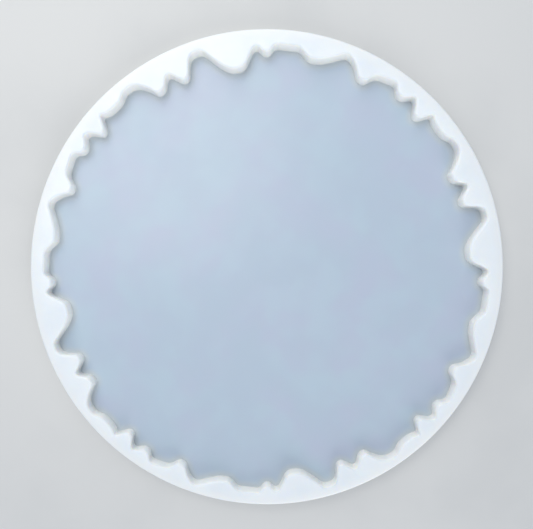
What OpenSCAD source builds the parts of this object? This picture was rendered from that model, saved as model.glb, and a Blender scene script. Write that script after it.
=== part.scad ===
// Round silicone tray mould for casting resin: a thick rim with a ragged inner edge,
// like a sawn slice of geode, round a thin flat floor. Open on top, flat underneath.
// Millimetres, +Z up, origin at the centre of the flat underside.

/* [Rim] */
// Outer diameter of the mould
outer_d = 300; // [240:5:360]
// Height from the flat underside to the top of the rim
rim_h = 12; // [9:0.5:20]
// Rounding of the rim's outer top edge
edge_r = 1.2; // [0.4:0.1:2.5]

/* [Cavity] */
// Thickness of the floor under the cavity
floor_t = 3; // [2:0.5:5]
// How many times the ragged pattern repeats round the cavity
repeats = 4; // [3:1:6]
// Depth of the ragged pattern, as a share of its normal depth
ripple = 1; // [0.4:0.05:1.2]
// How far each corner of the ragged edge is cut back where it is rounded
corner_cut = 2.4; // [0.8:0.2:3.2]

/* [Hidden] */

outer_r = outer_d / 2;
pattern_turn = 360 / repeats;  // angle that one pattern takes
drawn_turn = 90;               // angle that the pattern is drawn over below
mean_wall = 11;                // wall width that the ripple swings about
corner_steps = 4;              // straight pieces in each rounded corner
slack = 1;                     // how far a cutter runs past the faces it cuts

// One pattern of the ragged edge: [angle, wall width there] at each of its corners,
// anticlockwise from +X. Wide walls are lobes that reach into the cavity.
pattern = [
    [0.9, 12.6], [2.0, 9.3], [3.2, 9.3], [4.4, 14.0],
    [5.4, 18.4], [6.6, 20.5], [9.2, 20.7], [11.0, 18.8],
    [12.8, 15.0], [14.8, 9.2], [15.9, 6.3], [18.2, 6.2],
    [19.4, 8.6], [21.0, 17.8], [22.6, 18.6], [24.0, 15.4],
    [25.1, 11.9], [26.2, 11.9], [28.0, 17.8], [30.2, 18.4],
    [31.6, 12.8], [33.2, 8.4], [34.8, 6.1], [37.2, 6.0],
    [39.2, 9.0], [42.0, 9.3], [43.8, 8.4], [45.1, 6.4],
    [46.8, 13.8], [48.4, 14.8], [50.2, 7.9], [51.4, 6.6],
    [52.8, 10.2], [54.0, 11.6], [55.4, 10.9], [56.6, 6.6],
    [58.6, 7.4], [61.4, 8.7], [62.6, 11.0], [63.6, 15.2],
    [65.8, 15.4], [67.6, 9.4], [69.4, 5.9], [71.0, 5.8],
    [73.0, 9.2], [76.2, 13.0], [79.2, 13.8], [82.0, 8.3],
    [88.0, 8.0], [89.2, 12.5]
];

// A corner's place, from its angle and its wall width
function corner_at(turn, wall) =
    let (r = outer_r - mean_wall - (wall - mean_wall) * ripple)
    [r * cos(turn), r * sin(turn)];

// Every corner of the ragged edge, once round the cavity
corners = [
    for (k = [0 : repeats - 1])
        for (c = pattern)
            corner_at((k + c[0] / drawn_turn) * pattern_turn, c[1])
];

// The point a set distance from p towards q, and at most half way
function towards(p, q, distance) =
    p + (q - p) * min(distance / norm(q - p), 0.5);

// A point on the curve that leaves a, is pulled towards p, and ends at b
function bend(a, p, b, t) =
    (1 - t) * (1 - t) * a + 2 * t * (1 - t) * p + t * t * b;

// The ragged edge with each corner rounded
edge_points = [
    for (i = [0 : len(corners) - 1])
        let (
            here = corners[i],
            before = corners[(i + len(corners) - 1) % len(corners)],
            after = corners[(i + 1) % len(corners)],
            a = towards(here, before, corner_cut),
            b = towards(here, after, corner_cut)
        )
        for (s = [0 : corner_steps])
            bend(a, here, b, s / corner_steps)
];

module cavity_outline() {
    polygon(edge_points);
}

// The rim's section from the axis out, with its outer top edge rounded
module rim_section() {
    square([outer_r - edge_r, rim_h]);
    square([outer_r, rim_h - edge_r]);
    translate([outer_r - edge_r, rim_h - edge_r]) circle(edge_r, $fn = 32);
}

module rim_wall() {
    color("whitesmoke")
    difference() {
        rotate_extrude($fn = 180) rim_section();
        translate([0, 0, -slack])
            linear_extrude(rim_h + 2 * slack) cavity_outline();
    }
}

module cavity_floor() {
    color("lightsteelblue")
    linear_extrude(floor_t) cavity_outline();
}

rim_wall();
cavity_floor();
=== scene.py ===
import math

import bmesh
import bpy
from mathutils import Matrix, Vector, kdtree


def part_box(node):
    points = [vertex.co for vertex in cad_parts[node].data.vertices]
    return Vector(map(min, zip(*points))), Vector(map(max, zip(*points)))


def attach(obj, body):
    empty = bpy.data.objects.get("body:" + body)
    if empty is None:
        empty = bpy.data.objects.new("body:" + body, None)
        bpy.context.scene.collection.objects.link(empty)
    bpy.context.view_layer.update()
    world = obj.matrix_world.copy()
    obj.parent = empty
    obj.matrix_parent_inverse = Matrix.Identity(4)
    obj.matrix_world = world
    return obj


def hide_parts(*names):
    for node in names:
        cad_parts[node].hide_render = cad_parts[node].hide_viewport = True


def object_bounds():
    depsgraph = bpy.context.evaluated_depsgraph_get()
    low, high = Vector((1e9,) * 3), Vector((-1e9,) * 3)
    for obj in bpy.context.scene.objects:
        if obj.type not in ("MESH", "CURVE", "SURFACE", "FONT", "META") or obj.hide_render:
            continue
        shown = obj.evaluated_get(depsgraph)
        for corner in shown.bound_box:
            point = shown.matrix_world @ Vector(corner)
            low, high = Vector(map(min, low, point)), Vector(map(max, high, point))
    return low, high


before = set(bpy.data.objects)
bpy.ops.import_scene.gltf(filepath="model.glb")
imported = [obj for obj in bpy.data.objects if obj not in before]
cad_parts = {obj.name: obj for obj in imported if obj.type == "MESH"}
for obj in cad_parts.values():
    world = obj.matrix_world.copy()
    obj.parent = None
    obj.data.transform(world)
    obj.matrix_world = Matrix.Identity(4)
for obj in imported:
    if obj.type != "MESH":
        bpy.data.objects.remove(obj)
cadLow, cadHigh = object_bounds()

rimLow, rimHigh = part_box("rim_wall")
floorLow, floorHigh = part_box("cavity_floor")
mm = 0.001

print("stage 1: the camera and the lights")

shot = {
    "lens": 31.93,             # mm
    "sensor": 36,              # mm wide
    "rise": 0.3015,            # how far the camera stands above the rim
    "ahead": 0.009,            # how far it stands past the middle, towards +Y
    "tilt": 7.5,               # degrees that it leans back towards -Y
    "shiftUp": 0.123,          # keeps the mould in the middle of the picture
    "shiftRight": -0.0007,
    "nearest": 0.01,           # nothing nearer or further than these is drawn
    "furthest": 20,
}

studio = {
    "airColor": (0.81, 0.885, 1.0),
    "airStrength": 0.57,
    "soft": [                  # name, place, size, power, colour
        ("lamp", (-0.20, 0.24, 0.58), 0.5, 1.8, (0.98, 0.92, 0.83)),
        ("window", (-0.15, 0.75, 0.55), 0.8, 2.7, (0.99, 0.99, 0.92)),
        ("room", (0.50, -1.40, 0.75), 1.5, 15.0, (0.93, 0.905, 0.84)),
    ],
}


def tint(color):
    return (*color, 1)


def makeCamera():
    place = (0, shot["ahead"], rimHigh.z + shot["rise"])
    lean = (-math.radians(shot["tilt"]), 0, 0)
    bpy.ops.object.camera_add(location=place, rotation=lean)
    camera = bpy.context.object
    camera.name = "camera"
    camera.data.lens = shot["lens"]
    camera.data.sensor_width = shot["sensor"]
    camera.data.shift_x = shot["shiftRight"]
    camera.data.shift_y = shot["shiftUp"]
    camera.data.clip_start = shot["nearest"]
    camera.data.clip_end = shot["furthest"]
    bpy.context.scene.camera = camera


def makeLights():
    for name, place, size, power, color in studio["soft"]:
        aim = (-Vector(place)).to_track_quat("-Z", "Y").to_euler()
        bpy.ops.object.light_add(type="AREA", location=place, rotation=aim)
        light = bpy.context.object
        light.name = name
        light.data.shape = "DISK"
        light.data.size = size
        light.data.energy = power
        light.data.color = color
    world = bpy.data.worlds.new("studio air")
    bpy.context.scene.world = world
    world.use_nodes = True
    air = world.node_tree.nodes["Background"]
    air.inputs["Color"].default_value = tint(studio["airColor"])
    air.inputs["Strength"].default_value = studio["airStrength"]


makeCamera()
makeLights()
bpy.context.scene.view_settings.view_transform = "Standard"


print("stage 2: shader sums")


class Wire:
    # a shader socket that can be added, subtracted and multiplied like a number

    def __init__(self, tree, socket):
        self.tree = tree
        self.socket = socket

    def node(self, kind, settings=None, inputs=None, out=0):
        made = self.tree.nodes.new("ShaderNode" + kind)
        for name, value in (settings or {}).items():
            setattr(made, name, value)
        for name, value in (inputs or {}).items():
            plug(self.tree, made.inputs[name], value)
        return Wire(self.tree, made.outputs[out])

    def math(self, operation, first, second=0):
        return self.node("Math", {"operation": operation}, {0: first, 1: second})

    def __add__(self, other):
        return self.math("ADD", self, other)

    def __radd__(self, other):
        return self.math("ADD", other, self)

    def __sub__(self, other):
        return self.math("SUBTRACT", self, other)

    def __rsub__(self, other):
        return self.math("SUBTRACT", other, self)

    def __mul__(self, other):
        return self.math("MULTIPLY", self, other)

    def __rmul__(self, other):
        return self.math("MULTIPLY", other, self)

    def __abs__(self):
        return self.math("ABSOLUTE", self)

    def between(self, low, high):
        # 0 below low, 1 above high, and an even ease from one to the other
        limits = {"Value": self, "From Min": low, "From Max": high}
        return self.node("MapRange", {"interpolation_type": "SMOOTHSTEP"}, limits)

    def axis(self, name):
        return self.node("SeparateXYZ", inputs={0: self}, out=name)

    def blend(self, first, second):
        # goes from the first colour to the second as this number goes from 0 to 1
        inputs = {0: self, 6: first, 7: second}
        return self.node("Mix", {"data_type": "RGBA"}, inputs, out=2)


def plug(tree, socket, value):
    if isinstance(value, Wire):
        tree.links.new(value.socket, socket)
    else:
        socket.default_value = value


def startMaterial(name):
    material = bpy.data.materials.new(name)
    material.use_nodes = True
    return material, Wire(material.node_tree, None)


def finishMaterial(material, inputs):
    skin = material.node_tree.nodes["Principled BSDF"]
    for name, value in inputs.items():
        plug(material.node_tree, skin.inputs[name], value)


def cloud(start, place, size, detail, low=None, high=None):
    # soft noise, and with low and high given, eased to 0 and 1 outside them
    inputs = {"Vector": place, "Scale": 1 / size, "Detail": detail}
    noise = start.node("TexNoise", inputs=inputs)
    return noise if low is None else noise.between(low, high)


def bumped(start, height, strength):
    inputs = {"Height": height, "Distance": 1.0, "Strength": strength}
    return start.node("Bump", inputs=inputs)


print("stage 3: the silicone finishes")

silicone = {
    "wall": (0.97, 0.965, 0.92),       # painted glow: wall faces get a brighter, warmer colour than the top, for the light that comes out through the wall
    "glowColors": (1.0, 0.82, 0.62),   # how far each colour travels inside
    "glowReach": 8.0 * mm,
    "ior": 1.41,
    "coatIor": 1.6,
}


rimLook = {
    "top": (0.745, 0.790, 0.835),
    "cloudy": (0.70, 0.755, 0.815),
    # painted shade: the outer band of the top is painted a little darker and warmer, for
    # the shade on the rim's rounded outer edge
    "outside": (0.735, 0.770, 0.805),
    "outsideFrom": 7 * mm,             # in from the outside, where that colour starts
    "outsideTo": 1 * mm,               # and where it is full
    "outsideWander": 1.2 * mm,         # how far the clouds push it about
    "upright": 0.1,                    # a face that looks up less than this is wall
    "level": 0.85,                     # and one that looks up more is top
    "clouds": {"size": 26 * mm, "detail": 3, "low": 0.35, "high": 0.7},
    "smudges": {"size": 9 * mm, "detail": 4, "low": 0.45, "high": 0.75},
    "grain": {"size": 0.7 * mm, "detail": 2},
    "waves": {"size": 7 * mm, "detail": 1},
    "waveHeight": 0.12 * mm,
    "grainHeight": 0.02 * mm,
    "bump": 0.6,
    "rough": 0.34,
    "roughSmudge": 0.12,               # what a smudge adds
    "roughGrain": 0.06,
    "glowShare": 0.45,
    "coat": 0.12,
    "coatWall": 0.6,                   # what the walls add
    "coatRough": 0.10,
}


def rimSilicone():
    look = rimLook
    material, start = startMaterial("rimSilicone")
    place = start.node("TexCoord", out="Object")
    lookUp = abs(start.node("NewGeometry", out="Normal").axis("Z"))
    wall = 1 - lookUp.between(look["upright"], look["level"])
    clouds = cloud(start, place, **look["clouds"])
    smudge = cloud(start, place, **look["smudges"])
    grain = cloud(start, place, **look["grain"])
    waves = cloud(start, place, **look["waves"])
    middle = clouds.blend(tint(look["top"]), tint(look["cloudy"]))
    flat = start.node("VectorMath", {"operation": "MULTIPLY"}, {0: place, 1: (1, 1, 0)})
    reach = start.node("VectorMath", {"operation": "LENGTH"}, {0: flat}, out="Value")
    # painted shade: a darker, warmer band round the outer edge of the top
    first = rimHigh.x - look["outsideFrom"]
    last = rimHigh.x - look["outsideTo"]
    outside = (reach + clouds * look["outsideWander"]).between(first, last)
    top = outside.blend(middle, tint(look["outside"]))
    height = waves * look["waveHeight"] + grain * look["grainHeight"]
    rough = look["rough"] + smudge * look["roughSmudge"] + grain * look["roughGrain"]
    finishMaterial(material, {
        # painted glow: the wall faces take the brighter, warmer wall colour, the top keeps
        # its own
        "Base Color": wall.blend(top, tint(silicone["wall"])),
        "Roughness": rough,
        "Normal": bumped(start, height, look["bump"]),
        "IOR": silicone["ior"],
        "Subsurface Weight": look["glowShare"],
        "Subsurface Radius": silicone["glowColors"],
        "Subsurface Scale": silicone["glowReach"],
        "Coat Weight": look["coat"] + wall * look["coatWall"],
        "Coat Roughness": look["coatRough"],
        "Coat IOR": silicone["coatIor"],
    })
    return material


floorLook = {
    "plain": (0.420, 0.505, 0.610),
    "lilac": (0.435, 0.494, 0.615),
    "water": (0.430, 0.540, 0.632),
    "waterShare": 0.6,
    "wallGlowShade": (0.475, 0.530, 0.575),   # painted glow and shade: the floor near the wall is painted warmer and less blue, for the rim's light running on into it and the wall's shade on it
    "wallGlowShadeReach": 5 * mm,
    "footLift": 0.1 * mm,              # above the floor, where its hollow rounding starts
    "drift": {"size": 45 * mm, "detail": 2, "low": 0.38, "high": 0.66},
    "patches": {"size": 26 * mm, "detail": 2, "low": 0.4, "high": 0.7},
    "smudges": {"size": 12 * mm, "detail": 4, "low": 0.45, "high": 0.75},
    "grain": {"size": 0.9 * mm, "detail": 2},
    "waves": {"size": 22 * mm, "detail": 1},
    "waveHeight": 0.3 * mm,
    "grainHeight": 0.015 * mm,
    "bump": 0.5,
    "rough": 0.32,
    "roughSmudge": 0.1,
    "roughGrain": 0.05,
    "smoothFoot": 0.24,                # what the foot of the wall takes off
    "glowShare": 0.15,
    "coat": 0.12,
    "coatFoot": 0.88,                  # what the foot of the wall adds
    "coatRough": 0.18,
}


def floorSilicone(footHigh):
    look = floorLook
    material, start = startMaterial("floorSilicone")
    place = start.node("TexCoord", out="Object")
    foot = place.axis("Z").between(floorHigh.z + look["footLift"], footHigh)
    drift = cloud(start, place, **look["drift"])
    patches = cloud(start, place, **look["patches"])
    smudge = cloud(start, place, **look["smudges"])
    grain = cloud(start, place, **look["grain"])
    waves = cloud(start, place, **look["waves"])
    calm = drift.blend(tint(look["plain"]), tint(look["lilac"]))
    mottled = (patches * look["waterShare"]).blend(calm, tint(look["water"]))
    # painted glow and shade: near the wall the floor takes a warmer, less blue colour,
    # fading out over a few millimetres
    gap = start.node("Attribute", {"attribute_name": "fromWall"}, out="Fac")
    pastWallGlowShade = gap.between(0.0, look["wallGlowShadeReach"])
    wallGlowShaded = pastWallGlowShade.blend(tint(look["wallGlowShade"]), mottled)
    height = waves * look["waveHeight"] + grain * look["grainHeight"]
    rough = look["rough"] + smudge * look["roughSmudge"] + grain * look["roughGrain"]
    finishMaterial(material, {
        # painted glow: the hollow rounding at the foot of the wall takes the same
        # brighter, warmer wall colour
        "Base Color": foot.blend(wallGlowShaded, tint(silicone["wall"])),
        "Roughness": rough - foot * look["smoothFoot"],
        "Normal": bumped(start, height, look["bump"]),
        "IOR": silicone["ior"],
        "Subsurface Weight": look["glowShare"],
        "Subsurface Radius": silicone["glowColors"],
        "Subsurface Scale": silicone["glowReach"],
        "Coat Weight": look["coat"] + foot * look["coatFoot"],
        "Coat Roughness": look["coatRough"],
        "Coat IOR": silicone["coatIor"],
    })
    return material


tableLook = {
    "size": 4.0,
    "plain": (0.60, 0.61, 0.62),
    "worn": (0.56, 0.572, 0.585),
    "wear": {"size": 0.12, "detail": 4, "low": 0.4, "high": 0.7},
    "grain": {"size": 1.5 * mm, "detail": 2},
    "rough": 0.75,
    "roughGrain": 0.1,
    "gloss": 0.2,
}


def tableFinish():
    look = tableLook
    material, start = startMaterial("tableFinish")
    place = start.node("TexCoord", out="Object")
    worn = cloud(start, place, **look["wear"])
    grain = cloud(start, place, **look["grain"])
    finishMaterial(material, {
        "Base Color": worn.blend(tint(look["plain"]), tint(look["worn"])),
        "Roughness": look["rough"] + grain * look["roughGrain"],
        "Specular IOR Level": look["gloss"],
    })
    return material


print("stage 4: the ragged edge, taken from the floor's own outline")

edge = {
    "longest": 1.1 * mm,       # longest straight piece left in the outline
    "same": 0.1 * mm,          # points nearer than this are one point
    "weld": 0.01 * mm,         # points of a finished piece nearer than this are joined
}


def raggedEdge():
    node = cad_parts["cavity_floor"]
    onTop = [v.co for v in node.data.vertices if v.co.z > floorHigh.z - edge["same"]]
    inTurn = sorted(onTop, key=lambda p: math.atan2(p.y, p.x))
    corners = [inTurn[0]]
    for p in inTurn[1:]:
        if (p - corners[-1]).length > edge["same"]:
            corners.append(p)
    points = []
    for here, after in zip(corners, corners[1:] + corners[:1]):
        pieces = math.ceil((after - here).length / edge["longest"])
        points += [here.lerp(after, k / pieces) for k in range(pieces)]
    return points


outline = raggedEdge()
print("points round the ragged edge:", len(outline))


def startLoop(name, height, fill):
    # a circle whose points are pulled onto the ragged edge
    bpy.ops.object.select_all(action="DESELECT")
    bpy.ops.mesh.primitive_circle_add(vertices=len(outline), radius=1, fill_type=fill)
    piece = bpy.context.object
    piece.name = name
    piece.data.name = name
    for v, p in zip(piece.data.vertices, outline):
        v.co = (p.x, p.y, height)
    bpy.ops.object.mode_set(mode="EDIT")
    bpy.ops.mesh.select_mode(type="VERT")
    bpy.ops.mesh.select_all(action="SELECT")
    return piece


def selectEdges(piece, wanted):
    bpy.ops.mesh.select_mode(type="EDGE")
    bpy.ops.mesh.select_all(action="DESELECT")
    sheet = bmesh.from_edit_mesh(piece.data)
    for e in sheet.edges:
        if wanted(e):
            e.select_set(True)
    sheet.select_flush_mode()
    bmesh.update_edit_mesh(piece.data)


def faceUp(piece):
    # selects every face, and turns the sheet over if they look down
    bpy.ops.mesh.select_mode(type="FACE")
    bpy.ops.mesh.select_all(action="SELECT")
    sheet = bmesh.from_edit_mesh(piece.data)
    sheet.normal_update()
    if sum(f.normal.z for f in sheet.faces) < 0:
        bpy.ops.mesh.flip_normals()


def placeSelected(piece, move):
    sheet = bmesh.from_edit_mesh(piece.data)
    for v in sheet.verts:
        if v.select:
            v.co = move(v.co)
    sheet.normal_update()
    bmesh.update_edit_mesh(piece.data)


def pullRing(piece, radius=None, height=None):
    # extrudes the selected ring and sets the new ring's radius, height or both
    def move(p):
        flat = p.xy.normalized() * radius if radius else p.xy
        return (flat.x, flat.y, p.z if height is None else height)

    bpy.ops.mesh.extrude_edges_move()
    placeSelected(piece, move)


def quarterSteps(radius, steps):
    # how far in and how far up each step of a quarter round goes
    turns = [math.radians(90 * k / steps) for k in range(steps + 1)]
    for a, b in zip(turns, turns[1:]):
        inward = radius * (math.cos(a) - math.cos(b))
        upward = radius * (math.sin(b) - math.sin(a))
        yield inward, upward


def closePiece(piece, smooth):
    bpy.ops.mesh.select_all(action="SELECT")
    bpy.ops.mesh.remove_doubles(threshold=edge["weld"])
    bpy.ops.mesh.normals_make_consistent(inside=False)
    bpy.ops.object.mode_set(mode="OBJECT")
    bpy.ops.object.shade_smooth_by_angle(angle=math.radians(smooth))


print("stage 5: the rim")

rim = {
    "topRound": 1.3 * mm,      # rounding of the top, outside and along the ragged edge
    "topSteps": 6,
    "footRound": 0.5 * mm,     # rounding of the outer bottom edge
    "footSteps": 4,
    "wallRings": 3,            # rings down the inner wall
    "outerBand": 2 * mm,       # the ragged edge lies further in than this everywhere
    "smooth": 40,              # degrees
}


def makeRim():
    outer = rimHigh.x
    shoulder = rimHigh.z - rim["topRound"]
    piece = startLoop("silicone_rim", shoulder, "NOTHING")
    pullRing(piece, radius=outer)
    faceUp(piece)
    for inward, upward in quarterSteps(rim["topRound"], rim["topSteps"]):
        bpy.ops.mesh.inset(
            thickness=inward, depth=upward, use_boundary=True, use_even_offset=True
        )
    innerOnly = outer - rim["outerBand"]

    def raggedRim(e):
        return e.is_boundary and e.verts[0].co.xy.length < innerOnly

    # down the inner wall, out along the underside, round the foot and up the outside
    selectEdges(piece, raggedRim)
    drop = shoulder - rimLow.z
    for k in range(1, rim["wallRings"] + 1):
        pullRing(piece, height=shoulder - drop * k / rim["wallRings"])
    reach = outer - rim["footRound"]
    lift = rimLow.z
    pullRing(piece, radius=reach)
    for inward, upward in reversed(list(quarterSteps(rim["footRound"], rim["footSteps"]))):
        reach += inward
        lift += upward
        pullRing(piece, radius=reach, height=lift)
    pullRing(piece, height=shoulder)
    closePiece(piece, rim["smooth"])
    return piece


silRim = makeRim()


print("stage 6: the floor")

floor = {
    "footRound": 0.8 * mm,     # hollow rounding where the floor meets the wall
    "footSteps": 6,
    "flatRing": 0.15 * mm,     # first flat strip inside that rounding
    "core": 110 * mm,          # radius of the plain middle, clear of every lobe
    "rings": (0.96, 0.94, 0.91, 0.85, 0.7, 0.0),   # share kept at each step inwards
    "smooth": 40,              # degrees
}


def towardsCore(p, keep):
    # keeps only a share of how far the point lies beyond the plain middle
    reach = floor["core"] + (p.xy.length - floor["core"]) * keep
    flat = p.xy.normalized() * reach
    return (flat.x, flat.y, p.z)


def makeFloor():
    footHigh = floorHigh.z + floor["footRound"]
    piece = startLoop("silicone_floor", footHigh, "NGON")
    faceUp(piece)
    for inward, downward in quarterSteps(floor["footRound"], floor["footSteps"]):
        bpy.ops.mesh.inset(thickness=inward, depth=-downward, use_even_offset=True)
    bpy.ops.mesh.inset(thickness=floor["flatRing"], depth=0, use_even_offset=True)
    for keep in floor["rings"]:
        bpy.ops.mesh.extrude_region_move()
        placeSelected(piece, lambda p: towardsCore(p, keep))
    selectEdges(piece, lambda e: e.is_boundary)
    pullRing(piece, height=floorLow.z)
    bpy.ops.mesh.edge_face_add()
    closePiece(piece, floor["smooth"])
    return piece


def measureFromWall(piece):
    # each point keeps how far it is from the wall, for the finish to read
    tree = kdtree.KDTree(len(outline))
    for k, p in enumerate(outline):
        tree.insert((p.x, p.y, 0), k)
    tree.balance()
    gaps = piece.data.attributes.new("fromWall", "FLOAT", "POINT")
    for v in piece.data.vertices:
        gaps.data[v.index].value = tree.find((v.co.x, v.co.y, 0))[2]


silFloor = makeFloor()
measureFromWall(silFloor)

print("stage 7: materials and the table")

silRim.data.materials.clear()
silRim.data.materials.append(rimSilicone())
silFloor.data.materials.clear()
silFloor.data.materials.append(floorSilicone(floorHigh.z + floor["footRound"]))

bpy.ops.object.select_all(action="DESELECT")
bpy.ops.mesh.primitive_plane_add(size=tableLook["size"], location=(0, 0, cadLow.z))
table = bpy.context.object
table.name = "table"
table.data.materials.append(tableFinish())

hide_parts("rim_wall")
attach(silRim, "root")

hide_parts("cavity_floor")
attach(silFloor, "root")
